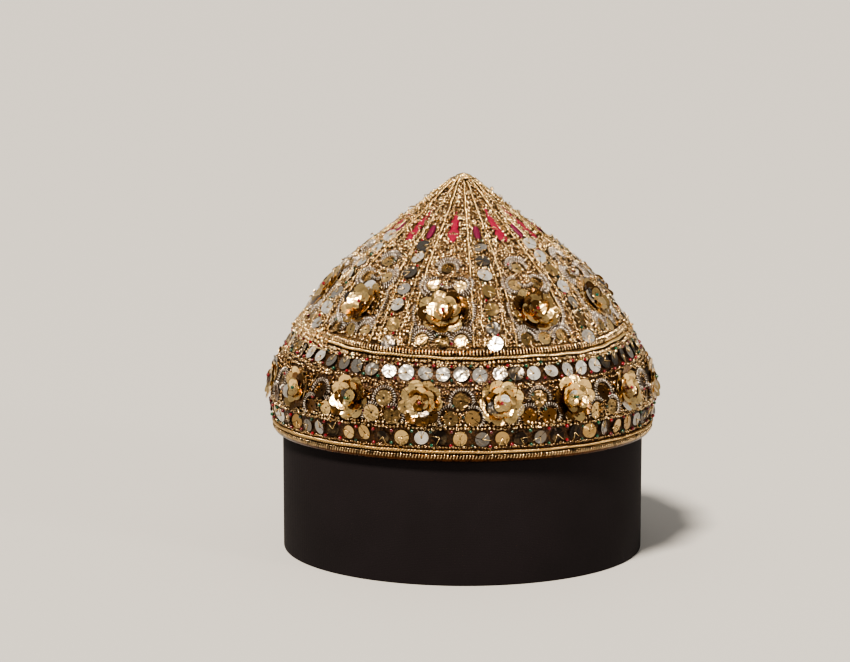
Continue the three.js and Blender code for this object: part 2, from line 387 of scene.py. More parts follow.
def tilted(axes, tip, towards, spin, size):
    # axes leaned by tip (radians) towards a direction in their own plane, then turned and sized
    number = len(axes)
    tip, towards, spin, size = (np.broadcast_to(v, number) for v in (tip, towards, spin, size))
    made = np.empty((number, 3, 3))
    for k in range(number):
        lean = Matrix.Rotation(tip[k], 3, Vector((-math.sin(towards[k]), math.cos(towards[k]), 0)))
        made[k] = axes[k] @ np.array(lean @ Matrix.Rotation(spin[k], 3, "Z")) * size[k]
    return made


def leanedAxes(turn, height, tips, sizes=None):
    # axes on the cloth, leaned and turned at random; tips and sizes are ranges
    number = len(turn)
    tip, towards = rng.uniform(*tips, number), anyAngle(number)
    spin = anyAngle(number)
    size = rng.uniform(*sizes, number) if sizes else 1.0
    return tilted(capAxes(turn, height), tip, towards, spin, size)


# Materials

def linear(hexColour):
    channels = [int(hexColour[i:i + 2], 16) / 255 for i in (1, 3, 5)]
    return [c / 12.92 if c <= 0.04045 else ((c + 0.055) / 1.055) ** 2.4 for c in channels] + [1.0]


def addNode(tree, kind, settings, inputs):
    node = tree.nodes.new(kind)
    for key, value in settings.items():
        setattr(node, key, value)
    for key, value in inputs.items():
        if isinstance(value, bpy.types.NodeSocket):
            tree.links.new(value, node.inputs[key])
        else:
            node.inputs[key].default_value = value
    return node


def startMaterial(name):
    material = bpy.data.materials.new(name)
    material.use_nodes = True
    material.node_tree.nodes.clear()
    return material, material.node_tree


def addShader(tree, inputs):
    shader = addNode(tree, "ShaderNodeBsdfPrincipled", {}, inputs)
    addNode(tree, "ShaderNodeOutputMaterial", {}, {"Surface": shader.outputs["BSDF"]})


def objectPlace(tree):
    return addNode(tree, "ShaderNodeTexCoord", {}, {}).outputs["Object"]


def attribute(tree, name, output):
    return addNode(tree, "ShaderNodeAttribute", {"attribute_name": name}, {}).outputs[output]


def blend(tree, share, first, second, kind="MIX"):
    settings = {"data_type": "RGBA", "blend_type": kind}
    return addNode(tree, "ShaderNodeMix", settings, {0: share, 6: first, 7: second}).outputs[2]


def noise(tree, place, scale, detail):
    inputs = {"Vector": place, "Scale": scale, "Detail": detail}
    return addNode(tree, "ShaderNodeTexNoise", {}, inputs).outputs["Fac"]


def relief(tree, height, depth, invert=False):
    # depth is in mm
    inputs = {"Height": height, "Distance": depth * mm, "Strength": 1.0}
    return addNode(tree, "ShaderNodeBump", {"invert": invert}, inputs).outputs["Normal"]


def wornMetal(name, changes):
    # thin drawn or beaten metal: tint picks each copy's colour, and a soft noise tarnishes it
    settings = {"dentSize": 0.7, "dentDepth": 0.25, "metallic": 1.0, "roughness": 0.2}
    settings.update(changes)
    material, tree = startMaterial(name)
    place = objectPlace(tree)
    own = blend(tree, attribute(tree, "tint", "Fac"), linear(settings["deep"]), linear(settings["pale"]))
    stain = noise(tree, place, 1000 / settings["stainSize"], 3.0)
    spread = addNode(
        tree, "ShaderNodeMapRange", {},
        {"Value": stain, "From Min": 0.48, "From Max": 0.72, "To Max": settings["stainShare"]},
    )
    dents = noise(tree, place, 1000 / settings["dentSize"], 1.0)
    addShader(tree, {
        "Base Color": blend(tree, spread.outputs["Result"], own, linear(settings["stain"])),
        "Normal": relief(tree, dents, settings["dentDepth"]),
        "Metallic": settings["metallic"],
        "Roughness": settings["roughness"],
    })
    return material


# silver-gilt purl: a tight spring of gilt wire, cut short; its turns break the light up
giltPurl = wornMetal("giltPurl", {
    "deep": "#8a6233", "pale": "#ffe4b4", "stain": "#3a220c", "stainSize": 6, "stainShare": 0.45,
})
# worn purl: the gilding has rubbed off some turns of the braids, which are brown there
wornPurl = wornMetal("wornPurl", {
    "deep": "#4a2c14", "pale": "#f4d6a6", "stain": "#1c0f07", "stainSize": 2.4, "stainShare": 1.0,
})
# gilt cord: plied from finer gilt thread, so it is paler and glints along each ply
giltCord = wornMetal("giltCord", {
    "deep": "#9a6d2e", "pale": "#ffe2a8", "stain": "#5a3c17", "stainSize": 8, "stainShare": 0.5,
    "dentSize": 0.5, "dentDepth": 0.15, "roughness": 0.26,
})
# gilt spangles: stamped brass-coloured foil, polished, cupped and slightly crumpled
giltSpangle = wornMetal("giltSpangle", {
    "deep": "#5f3c1a", "pale": "#fad797", "stain": "#6e4a20", "stainSize": 4, "stainShare": 0.4,
    "dentSize": 2.8, "dentDepth": 0.55, "roughness": 0.22,
})
# pale spangles: the same foil, its gilding washed out to cream where it lies flat
paleSpangle = wornMetal("paleSpangle", {
    "deep": "#5a3e20", "pale": "#f8d698", "stain": "#4c3218", "stainSize": 4, "stainShare": 0.6,
    "dentSize": 2.4, "dentDepth": 0.7, "roughness": 0.24,
})
# silver discs: thin rolled silver, some bright and some black with tarnish
silverFoil = wornMetal("silverFoil", {
    "deep": "#1f1610", "pale": "#fbf6ee", "stain": "#8a7658", "stainSize": 4, "stainShare": 0.5,
    "dentSize": 2.8, "dentDepth": 0.6, "metallic": 0.8, "roughness": 0.26,
})
# silver bullion: bright wire wound into a hollow rope, greyed with age
silverWire = wornMetal("silverWire", {
    "deep": "#54463a", "pale": "#d9cdbf", "stain": "#463930", "stainSize": 6, "stainShare": 0.5,
    "dentSize": 0.6, "dentDepth": 0.1, "roughness": 0.25,
})


def seedGlass(name, deep, bright):
    # pressed glass seed bead: deep colour under a small sharp glint
    material, tree = startMaterial(name)
    addShader(tree, {
        "Base Color": blend(tree, attribute(tree, "tint", "Fac"), linear(deep), linear(bright)),
        "Roughness": 0.08,
        "IOR": 1.52,
        "Coat Weight": 0.5,
    })
    return material


redGlass = seedGlass("redGlass", "#3d050a", "#7d0e1a")
greenGlass = seedGlass("greenGlass", "#03190f", "#0a4d33")


def plainWeave(name, changes):
    # woven cloth: warp and weft bands cross in relief, with a slow unevenness of the dye
    settings = {"follow": False, "bands": ("X", "Z"), "sheen": 0.0, "shine": 0.3, "grooveShade": 0.35}
    settings.update(changes)
    material, tree = startMaterial(name)
    # silk follows the flat strip that it was cut from, whose measures are in mm
    if settings["follow"]:
        place, unit = attribute(tree, "flat", "Vector"), 1.0
    else:
        place, unit = objectPlace(tree), 1000.0
    # a wave texture repeats every fullTurn / 20 / Scale along its axis
    waveScale = unit * fullTurn / 20 / settings["threadPitch"]
    inputs = {"Vector": place, "Scale": waveScale, "Distortion": 0.4, "Detail": 1.0}
    warp, weft = [
        addNode(tree, "ShaderNodeTexWave", {"bands_direction": direction}, inputs).outputs["Fac"]
        for direction in settings["bands"]
    ]
    crossed = addNode(tree, "ShaderNodeMath", {"operation": "MULTIPLY"}, {0: warp, 1: weft})
    weave = crossed.outputs["Value"]
    dye = noise(tree, place, unit / settings["dyePatch"], 4.0)
    dyed = blend(tree, dye, linear(settings["deep"]), linear(settings["pale"]))
    addShader(tree, {
        "Base Color": blend(tree, settings["grooveShade"], dyed, weave, "MULTIPLY"),
        "Normal": relief(tree, weave, settings["relief"]),
        "Roughness": settings["roughness"],
        "Sheen Weight": settings["sheen"],
        "Specular IOR Level": settings["shine"],
    })
    return material


silk = {"follow": True, "bands": ("X", "Y"), "threadPitch": 0.6, "dyePatch": 2, "relief": 0.12}
# crimson silk: fine and lustrous, lit softly along its folds
crimsonSilk = plainWeave("crimsonSilk", {**silk, "deep": "#640220", "pale": "#b80f42", "roughness": 0.6})
# magenta silk: the same cloth in a colder dye
magentaSilk = plainWeave("magentaSilk", {**silk, "deep": "#420220", "pale": "#8e0a48", "roughness": 0.5})
# unbleached cotton lining: a coarse plain weave, browned by wear
cottonLining = plainWeave("cottonLining", {
    "threadPitch": 1.2, "dyePatch": 30, "deep": "#5d4630", "pale": "#8e7453", "relief": 0.25,
    "roughness": 0.9, "sheen": 0.2,
})
# dark book cloth over board: matte and so close woven that it looks nearly smooth
drumCloth = plainWeave("drumCloth", {
    "threadPitch": 0.8, "dyePatch": 25, "deep": "#120d0f", "pale": "#1c1619", "relief": 0.04,
    "roughness": 0.85, "shine": 0.18, "grooveShade": 0.08,
})


def couchedGround(name, deep, pale):
    # gilt thread laid side by side and sewn down; its colour is darkened as painted shade, since it shows
    # only in the gaps under the purl, and darker still between its stitches as painted shade in their
    # grooves
    stitch, depth = 1.3, 0.5
    material, tree = startMaterial(name)
    inputs = {"Vector": objectPlace(tree), "Scale": 1000 / stitch}
    lumps = addNode(tree, "ShaderNodeTexVoronoi", {}, inputs).outputs["Distance"]
    addShader(tree, {
        # painted shade: the colour goes from pale at each stitch's middle to deep at its edges
        "Base Color": blend(tree, lumps, linear(pale), linear(deep)),
        "Normal": relief(tree, lumps, depth, invert=True),
        "Metallic": 0.6,
        "Roughness": 0.45,
    })
    return material


giltGround = couchedGround("giltGround", "#22160b", "#7b5c34")
# shaded band ground: the same couched thread painted darker than the crown's, as painted shade for the band
# where less light falls
shadedBandGround = couchedGround("shadedBandGround", "#180e07", "#553717")


# Camera, floor and light

view = {
    "azimuth": -10.0,        # degrees round from the front, towards +X
    "elevation": 8.3,
    "distance": 1200.0,
    "frameWidth": 425.0,     # mm across the picture at that distance
    "aimHeight": 108.0,      # the picture's middle, above the drum's foot
    "aimAside": -18.75,      # the picture's middle, right of the cap's axis
}


def setCamera():
    azimuth, elevation = math.radians(view["azimuth"]), math.radians(view["elevation"])
    right = Vector((math.cos(azimuth), math.sin(azimuth), 0))
    aim = Vector((0, 0, view["aimHeight"] * mm)) + right * view["aimAside"] * mm
    back = Vector((
        math.sin(azimuth) * math.cos(elevation),
        -math.cos(azimuth) * math.cos(elevation),
        math.sin(elevation),
    ))
    data = bpy.data.cameras.new("camera")
    data.lens = data.sensor_width * view["distance"] / view["frameWidth"]
    camera = addObject("camera", data)
    camera.location = aim + back * view["distance"] * mm
    camera.rotation_euler = (-back).to_track_quat("-Z", "Y").to_euler()
    bpy.context.scene.camera = camera


def addLamp(name, kind, settings, colour, aim):
    data = bpy.data.lights.new(name, kind)
    data.color = linear(colour)[:3]
    for key, value in settings.items():
        setattr(data, key, value)
    lamp = addObject(name, data)
    lamp.rotation_euler = aim.to_track_quat("-Z", "Y").to_euler()
    return lamp


def setStudio():
    bm = bmesh.new()
    bmesh.ops.create_grid(bm, x_segments=2, y_segments=2, size=150)
    mesh = bpy.data.meshes.new("studioFloor")
    bm.to_mesh(mesh)
    bm.free()
    # matte painted floor: pale and even
    material, tree = startMaterial("paintedFloor")
    addShader(tree, {"Base Color": linear("#bdbbb8"), "Roughness": 0.9})
    mesh.materials.append(material)
    floor = addObject("studioFloor", mesh)
    # a broad far lamp lights the floor evenly as far as it reaches
    sun = {"energy": 6.8, "angle": math.radians(11)}
    addLamp("keyLamp", "SUN", sun, "#fff4e4", Vector((0.42, 0.55, -0.95)))
    capMiddle, spot = Vector((0, 0, 0.1)), Vector((1.3, -1.5, 0.5))
    disk = {"shape": "DISK", "size": 0.35, "energy": 12}
    addLamp("fillLamp", "AREA", disk, "#fff4e6", capMiddle - spot).location = spot
    world = bpy.data.worlds.new("studioAir")
    world.use_nodes = True
    sky = world.node_tree.nodes["Background"]
    sky.inputs["Color"].default_value = linear("#e2dfd9")
    sky.inputs["Strength"].default_value = 0.5
    bpy.context.scene.world = world
    bpy.context.scene.view_settings.look = "AgX - Medium High Contrast"


setCamera()
setStudio()
print("camera, floor and light")


# Cloth shells, rings and tapes

def ringShape(section, around):
    # a closed ring round the cap, whose section is a list of height functions and lifts
    shape = takeShape(spinShape([(1 + k, k) for k in range(len(section))], around))
    index = np.rint(shape["points"][:, 2]).astype(int)
    turn = np.arctan2(shape["points"][:, 0], -shape["points"][:, 1])
    height, lift = np.zeros(len(turn)), np.zeros(len(turn))
    for k, corner in enumerate(section):
        height[index == k] = corner["height"](turn[index == k])
        lift[index == k] = corner["lift"]
    shape["points"] = capPoint(turn, height, lift)
    return facingOut(shape)


def wallSection(footAt, topAt, rows):
    # up the outside and down the inside of a cloth wall between two heights
    def between(share):
        return lambda turn: footAt(turn) + (topAt(turn) - footAt(turn)) * share

    shares = np.linspace(0, 1, rows)
    outside = [{"height": between(share), "lift": 0.0} for share in shares]
    inside = [{"height": between(share), "lift": -cloth["thickness"]} for share in shares[::-1]]
    return outside + inside


def lineInside(piece, level):
    # faces that look in take the second material; level is how much looking up counts as looking out
    mesh = piece.data
    normals = np.array([p.normal for p in mesh.polygons])
    centres = np.array([p.center for p in mesh.polygons])
    outward = np.einsum("ij,ij->i", normals[:, :2], centres[:, :2]) + normals[:, 2] * level
    mesh.polygons.foreach_set("material_index", (outward < 0).astype(np.int32))


shells = {"gap": 0.15, "around": 150, "bandRows": 14, "crownRows": 30, "openPoint": 0.05}


def makeShell(name, node, footAt, topAt, rows, ground, level):
    wall = ringShape(wallSection(footAt, topAt, rows), shells["around"])
    piece = makePiece(name, [asBatch(wall, 0.5)], [ground, cottonLining], [node])
    lineInside(piece, level)


# the band's cloth takes the ground that is painted darker, as painted shade
makeShell(
    "bandCloth", "side_band", lowerEdge, lineAbove(seamAt, -shells["gap"]), shells["bandRows"],
    shadedBandGround, 0.0,
)
makeShell(
    "crownCloth", "crown", lineAbove(seamAt, shells["gap"]),
    lineAbove(lowerEdge, capHeight - shells["openPoint"]), shells["crownRows"], giltGround, 0.03,
)


# Small parts that are sewn on by the hundred

purlLoop = wireLoop(ringRadius=0.74, wireRadius=0.34, angle=fullTurn, steps=7, sides=4)
purlHook = wireLoop(ringRadius=0.92, wireRadius=0.38, angle=math.radians(200), steps=5, sides=4)
goldBead = beadShape(radius=0.88, around=7, tall=5)
purlKnot = beadShape(radius=0.78, around=6, tall=4)
seedBead = beadShape(radius=0.85, around=9, tall=6)


# a stamped disc of radius 1, so its other sizes are shares
sequin = {"hole": 0.14, "middle": 0.6, "thickness": 0.035, "angle": math.radians(353), "around": 15}


def sequinShape(dish, bend):
    # beaten from a ring of wire, so it has a small hole and a slit from there to its edge
    face = [(sequin["hole"], 0.0), (sequin["middle"], dish * 0.3), (1.0, dish)]
    back = [(x, z + sequin["thickness"]) for x, z in reversed(face)]
    bm = spinShape(face + back, sequin["around"], sequin["angle"])
    for vert in bm.verts:
        vert.co.z += bend * vert.co.x * abs(vert.co.x)
    shape = takeShape(bm)
    shape["smooth"] = False
    return shape


# a nearly flat one, a cupped one and a bent one
sequins = [sequinShape(0.02, 0.03), sequinShape(0.09, 0.0), sequinShape(0.0, 0.13)]


def stitchShape(length, thick):
    # a straight thread along x that starts at the middle
    bm = bmesh.new()
    spot = Matrix.Translation((length / 2, 0, 0.3)) @ Matrix.Rotation(math.pi / 2, 4, "Y")
    bmesh.ops.create_cone(
        bm, cap_ends=True, segments=4, radius1=thick, radius2=thick, depth=length, matrix=spot
    )
    return takeShape(bm)


def scattered(shapes, origins, axes, tints, slotIndex=0):
    # batches that share the places out among several shapes
    kinds = rng.integers(0, len(shapes), len(origins))
    return [
        copies(shape, origins[kinds == k], axes[kinds == k], tints[kinds == k], slotIndex)
        for k, shape in enumerate(shapes)
    ]


# Ribs: tapes, cords, fine threads and discs

ribTurns = evenTurns(cloth["ribCount"])
ribs = {
    "foot": 4.6,             # above the seam, where the braid ends
    "tapeLift": 0.6,
    "tapeInset": 0.3,
    "cordLift": 1.2,
    "cordWander": 0.12,
    "cordPitch": 2.8,
    "plySpread": 0.33,
    "plyRadius": 0.33,
    "discCount": 7,
    "discPitch": 9.4,
    "discRadius": 3.7,
    "firstDisc": 6.2,        # centre of the lowest disc above the seam
    "threadAside": 5.0,
    "threadLift": 1.35,
    "threadWander": 0.35,
    "threadRadius": 0.3,
    "patchFoot": 97.0,
    "patchLength": 9.5,
    "patchWidth": 3.0,
}
ribTop = heightWhere(cloth["ribEndRadius"])


def numbered(name, count):
    return [f"{name}_{k:02d}" for k in range(1, count + 1)]


def sewnDown(shape, turn, foot, lift):
    # bends a flat shape onto the cloth
    x, y, z = shape["points"].T
    newTurn, newHeight = besides(turn, foot, x, y)
    return {**shape, "flat": shape["points"], "points": capPoint(newTurn, newHeight, lift + z)}


def stripShape(length, halfAt, rowsUp, across, crown, thickness):
    # a flat strip along y: halfAt gives its half width, crown how far its middle stands up
    bm = bmesh.new()
    bmesh.ops.create_grid(bm, x_segments=across, y_segments=rowsUp, size=1)
    for vert in bm.verts:
        t = (vert.co.y + 1) / 2
        vert.co = Vector((vert.co.x * halfAt(t), t * length, crown * (1 - vert.co.x ** 2)))
    bmesh.ops.solidify(bm, geom=list(bm.faces), thickness=thickness)
    return takeShape(bm)


def makeRibs():
    paths, tapes = [], []
    for turn in ribTurns:
        foot = float(seamAt(turn)) + ribs["foot"]
        length = float(np.interp(ribTop, heightSteps, pathSteps) - np.interp(foot, heightSteps, pathSteps))

        def tapeHalf(t):
            return float(clothRadius(climb(foot, t * length))) * cloth["ribHalfTurn"] - ribs["tapeInset"]

        tape = stripShape(length, tapeHalf, rowsUp=34, across=4, crown=0.0, thickness=0.5)
        tapes.append(asBatch(sewnDown(tape, turn, foot, ribs["tapeLift"]), 0.5))
        for side in (-1, 1):
            edge = turn + side * cloth["ribHalfTurn"]
            height = np.linspace(float(seamAt(edge)) + ribs["foot"], ribTop, 150)
            wander = ribs["cordWander"] * np.sin(height * 0.9 + turn * 7 + side)
            path = clothPath(edge + wander / clothRadius(height), height, ribs["cordLift"])
            paths += plied(*path, ribs["cordPitch"], ribs["plySpread"])
    makePiece("ribTapes", tapes, [giltGround])
    cords = asBatch(windWire(paths, ribs["plyRadius"]), 0.75)
    makePiece("ribCords", [cords], [giltCord], numbered("rib", cloth["ribCount"]))


def makeRibThreads():
    # a fine thread beside each cord, on the rib, which ends somewhere short of the point
    paths = []
    for turn in ribTurns:
        for side in (-1, 1):
            top = heightWhere(rng.uniform(22, 34))
            height = np.linspace(float(seamAt(turn)) + ribs["foot"], top, 60)
            radius = clothRadius(height)
            aside = np.minimum(ribs["threadAside"], radius * cloth["ribHalfTurn"] * 0.55)
            wander = ribs["threadWander"] * np.sin(height * 0.55 + turn * 5 + side)
            paths.append(capPoint(turn + side * (aside + wander) / radius, height, ribs["threadLift"]))
    threads = asBatch(windWire(paths, ribs["threadRadius"]), 0.7)
    makePiece("ribThreads", [threads], [giltCord])


def ribDiscPlaces():
    first = climb(seamAt(ribTurns), ribs["firstDisc"])
    steps = np.arange(ribs["discCount"]) * ribs["discPitch"]
    return np.repeat(ribTurns, ribs["discCount"]), climb(first[:, None], steps[None, :]).ravel()


# each disc is caught by two threads that run from its hole over its edge
discStitch = stitchShape(length=3.9, thick=0.2)


discs = {
    "stray": 0.3,            # mm, both round the cap and up it
    "lean": (0, 0.34),
    "size": (0.9, 1.05),
    "wear": (0.85, 1.0),     # of a silver disc's tint
    "giltTint": (0.1, 0.7),
    "stitchTurn": (0.36, 0.72),
}


def makeDiscs(name, places, lift, radius, giltShare, silvers, nodes):
    # silvers gives how bright the silver discs are, each with the share of them that is so
    turn, height = strayed(*places, aside=discs["stray"], tall=discs["stray"])
    number = len(turn)
    tip, towards = rng.uniform(*discs["lean"], number), anyAngle(number)
    seat, sizes = capAxes(turn, height), radius * rng.uniform(*discs["size"], number)
    axes = tilted(seat, tip, towards, anyAngle(number), sizes)
    tints = chosenTints(silvers, number) * rng.uniform(*discs["wear"], number)
    origins = capPoint(turn, height, lift)
    gilt = rng.uniform(0, 1, number) < giltShare
    batches = scattered(sequins, origins[~gilt], axes[~gilt], tints[~gilt])
    giltTints = rng.uniform(*discs["giltTint"], np.sum(gilt))
    batches += scattered(sequins, origins[gilt], axes[gilt], giltTints, 2)
    spin = anyAngle(number)
    for side in (-1, 1):
        aside = side * rng.uniform(*discs["stitchTurn"], number)
        stitches = tilted(seat, tip, towards, spin + aside, 1.0)
        batches.append(copies(discStitch, origins, stitches, rng.uniform(0.5, 1, number), 1))
    makePiece(name, batches, [silverFoil, giltCord, giltSpangle], nodes)


makeRibs()
makeRibThreads()
makeDiscs(
    "ribDiscs", ribDiscPlaces(), lift=1.6, radius=ribs["discRadius"], giltShare=0.1,
    silvers={1.0: 0.45, 0.75: 0.25, 0.4: 0.15, 0.1: 0.15}, nodes=numbered("rib_discs", cloth["ribCount"]),
)
print("ribs")


# Rows of silver discs round the band

rows = {
    "count": 64,
    "upperDrop": 6.8,        # disc centres below the seam
    "lowerHeight": 11.6,
    "upperRadius": 3.65,
    "lowerRadius": 3.4,
}


def rowPlaces(upper):
    turn = evenTurns(rows["count"])
    height = seamAt(turn) - rows["upperDrop"] if upper else np.full(rows["count"], rows["lowerHeight"])
    return turn, height


makeDiscs(
    "upperDiscs", rowPlaces(True), lift=0.9, radius=rows["upperRadius"], giltShare=0.15,
    silvers={1.0: 0.3, 0.5: 0.22, 0.25: 0.23, 0.05: 0.25}, nodes=["upper_disc_row"],
)
# the lower row's silver discs take darker tints than the upper row's: partly tarnish, partly painted shade
# for the row low on the band
makeDiscs(
    "lowerDiscs", rowPlaces(False), lift=0.9, radius=rows["lowerRadius"], giltShare=0.35,
    silvers={0.7: 0.15, 0.35: 0.2, 0.15: 0.25, 0.0: 0.4}, nodes=["lower_disc_row"],
)
print("disc rows")


# Flowers of cupped spangles

flowers = {
    "bandCount": 16,
    "bandHeight": 27.5,
    "crownRise": 19.0,       # crown flowers above the seam
    "paleShare": 0.07,       # petals that are silver
    "beadLift": 3.5,
    "ringTurn": 0.4,         # radians from one ring's first petal to the next ring's
    "petalTints": {1.0: 0.35, 0.8: 0.25, 0.5: 0.2, 0.05: 0.2},
    "stepStray": (-0.13, 0.13),    # of the step from petal to petal
    "reachStray": (0.94, 1.06),    # these two are multiplied by
    "sizeStray": (0.9, 1.06),
    "liftStray": (-0.3, 0.4),
    "leanStray": (-0.25, 0.25),
    "turnStray": (-0.4, 0.4),
    "rings": [
        {"petals": 9, "reach": 7.8, "size": 3.7, "lean": 0.28, "lift": 0.8},
        {"petals": 7, "reach": 4.6, "size": 3.3, "lean": 0.32, "lift": 1.4},
        {"petals": 4, "reach": 2.0, "size": 2.8, "lean": 0.3, "lift": 2.1},
    ],
}


def flowerBatches(turn, height, scale, cupping):
    axes = capAxes(np.array([turn]), np.array([height]))[0]
    seat = capPoint(turn, height, 0.6)
    origins, leans, angles, sizes, tints = [], [], [], [], []
    start = anyAngle()
    for ring in flowers["rings"]:
        for k in range(ring["petals"]):
            angle = start + fullTurn * (k + rng.uniform(*flowers["stepStray"])) / ring["petals"]
            reach = ring["reach"] * rng.uniform(*flowers["reachStray"]) * scale
            lift = ring["lift"] + rng.uniform(*flowers["liftStray"])
            local = np.array([math.cos(angle) * reach, math.sin(angle) * reach, lift])
            origins.append(seat + axes @ local * mm)
            leans.append(ring["lean"] * cupping + rng.uniform(*flowers["leanStray"]))
            angles.append(angle + math.pi + rng.uniform(*flowers["turnStray"]))
            sizes.append(ring["size"] * rng.uniform(*flowers["sizeStray"]) * scale)
            tints.append(chosenTints(flowers["petalTints"]))
        start += flowers["ringTurn"]
    number = len(origins)
    origins, tints = np.array(origins), np.array(tints)
    pale = rng.uniform(0, 1, number) < flowers["paleShare"]
    spin = anyAngle(number)
    petals = tilted(np.array([axes] * number), leans, angles, spin, np.array(sizes))
    bead = seat + axes @ np.array([*rng.uniform(-0.6, 0.6, 2), flowers["beadLift"]]) * mm
    batches = scattered(sequins, origins[~pale], petals[~pale], tints[~pale])
    batches += scattered(sequins, origins[pale], petals[pale], tints[pale], 3)
    glass = int(rng.integers(1, 3))
    return batches + [copies(seedBead, bead[None], axes[None] * 1.1, np.array([0.7]), glass)]


def makeFlowers(name, centres, scale, cupping, node):
    batches = [batch for place in centres for batch in flowerBatches(*place, scale, cupping)]
    metals = [giltSpangle, redGlass, greenGlass, silverFoil]
    makePiece(name, batches, metals, numbered(node, len(centres)))


goreTurns = ribTurns + fullTurn / cloth["ribCount"] / 2
goreCentres = [(turn, float(seamAt(turn)) + flowers["crownRise"]) for turn in goreTurns]
bandFlowerPlaces = [(turn, flowers["bandHeight"]) for turn in evenTurns(flowers["bandCount"])]
makeFlowers("crownFlowers", goreCentres, scale=1.08, cupping=1.15, node="crown_flower")
makeFlowers("bandFlowers", bandFlowerPlaces, scale=0.97, cupping=0.9, node="band_flower")
print("flowers")


# Spangles and bullion arcs of the gores and of the band

# the spangles round one flower of the crown and between two of the band: x and y in mm from the
# middle, and the spangle's radius
goreSpangles = [
    (-9.2, -13.8, 3.1), (0.0, -14.8, 3.4), (9.2, -13.8, 3.1),
    (-6.0, 15.0, 3.2), (6.0, 15.4, 3.2), (0.0, 25.5, 3.2),
]
bandSpangles = [(0.3, 1.2, 3.9), (-5.3, -6.2, 3.8), (5.3, -6.4, 3.8)]


def arcsRound(spots, arcs):
    # an arc of bullion round each spot: the spot's x and y, the arc's radius, and the two angles in
    # degrees that it runs between, 0 to the east and 90 up
    return [(*spot[:2], *arc) for spot, arc in zip(spots, arcs)]


flowerSpots = [(0.0, 0.0), (0.0, 0.0), (0.0, 19.0)]
goreArcs = arcsRound(goreSpangles, [
    (4.2, -10, 190), (4.5, 0, 180), (4.2, -10, 190), (4.3, 60, 275), (4.3, -95, 120), (4.3, -20, 200),
])
goreArcs += arcsRound(flowerSpots, [(14.2, -42, 28), (14.2, 152, 222), (5.0, 215, 325)])
# a second arc outside the first, round all but the middle one of the three lowest spangles
goreArcs += arcsRound(goreSpangles[:1] + goreSpangles[2:], [
    (6.2, 30, 160), (6.2, 20, 150), (6.3, 120, 250), (6.3, -70, 60), (6.3, 20, 160),
])
bandArcs = arcsRound(bandSpangles, [(5.4, -15, 195), (5.2, 60, 215), (5.2, -35, 120)])
bullion = {"coilRadius": 0.9, "seat": 0.5, "wireRadius": 0.32, "pitch": 1.2, "stepsPerTurn": 8}


def arcOnCloth(turn, height, arc, number):
    x, y, radius, low, high = arc
    angle = np.radians(np.linspace(low, high, number))
    return besides(turn, height, x + radius * np.cos(angle), y + radius * np.sin(angle))


def arcLength(arc):
    *_, radius, low, high = arc
    return math.radians(high - low) * radius


def bullionPath(turn, height, arc):
    number = int(arcLength(arc) / bullion["pitch"] * bullion["stepsPerTurn"])
    turns, heights = arcOnCloth(turn, height, arc, number)
    path = clothPath(turns, heights, bullion["coilRadius"] + bullion["seat"])
    return twist(*path, bullion["pitch"], bullion["coilRadius"])


def varied(arc):
    x, y, radius, low, high = arc
    return x, y, radius, low + rng.uniform(-14, 14), high + rng.uniform(-14, 14)


def spanglePlaces(centres, spangles):
    # turn, height and radius of every spangle
    made = []
    for turn, height in centres:
        for x, y, radius in spangles:
            movedX, movedY = x + rng.uniform(-0.6, 0.6), y + rng.uniform(-0.6, 0.6)
            newTurn, newHeight = besides(turn, height, movedX, movedY)
            made.append((newTurn, float(newHeight), radius * rng.uniform(0.92, 1.05)))
    return np.array(made)


def makeSpangles(name, places, tintChoices):
    turn, height, radius = places.T
    axes = leanedAxes(turn, height, (0, 0.22)) * radius[:, None, None]
    tints = rng.choice(tintChoices, len(turn))
    batches = scattered(sequins, capPoint(turn, height, 0.9), axes, tints)
    makePiece(name, batches, [paleSpangle])


def makeBullion(name, centres, arcs, tint):
    paths = [bullionPath(turn, height, varied(arc)) for turn, height in centres for arc in arcs]
    wire = windWire(paths, bullion["wireRadius"])
    makePiece(name, [asBatch(wire, tint)], [silverWire])


halfStep = fullTurn / flowers["bandCount"] / 2
bandCentres = [(turn + halfStep, height) for turn, height in bandFlowerPlaces]
gorePlaces = spanglePlaces(goreCentres, goreSpangles)
bandPlaces = spanglePlaces(bandCentres, bandSpangles)
makeSpangles("goreSpangles", gorePlaces, [1.0, 0.9, 0.6, 0.3])
makeSpangles("bandSpangles", bandPlaces, [0.7, 0.4, 0.2, 0.0])
makeBullion("goreBullion", goreCentres, goreArcs, 0.9)
makeBullion("bandBullion", bandCentres, bandArcs, 0.6)
print("spangles and bullion")


# Cords, wrapped braids and bead rows

trims = {
    "plyRadius": 0.44,
    "plySpread": 0.5,        # ply centres from the cord's centre
    "plyPitch": 3.0,
    "cordLift": 1.1,
    "rimCordHeight": 5.3,
    "beadPitch": 1.95,
}


def makeRingCord(name, heightAt, tint, node):
    turn = np.linspace(0, fullTurn, 1001)
    centres = capPoint(turn, heightAt(turn), trims["cordLift"])
    length = pathLength(centres)
    pitch = length / round(length / trims["plyPitch"])
    axes = capAxes(turn, heightAt(turn))
    strands = plied(centres, axes[..., 2], axes[..., 1], pitch, trims["plySpread"])
    paths = [strand[:-1] for strand in strands]
    shape = windWire(paths, trims["plyRadius"], closed=True, roundness=1)
    makePiece(name, [asBatch(shape, tint)], [giltCord], [node])


def handLaid(turn):
    # the seam's cord was sewn down by hand and wanders a little
    return seamAt(turn) + 0.25 * np.sin(9 * turn) + 0.15 * np.sin(31 * turn + 1)


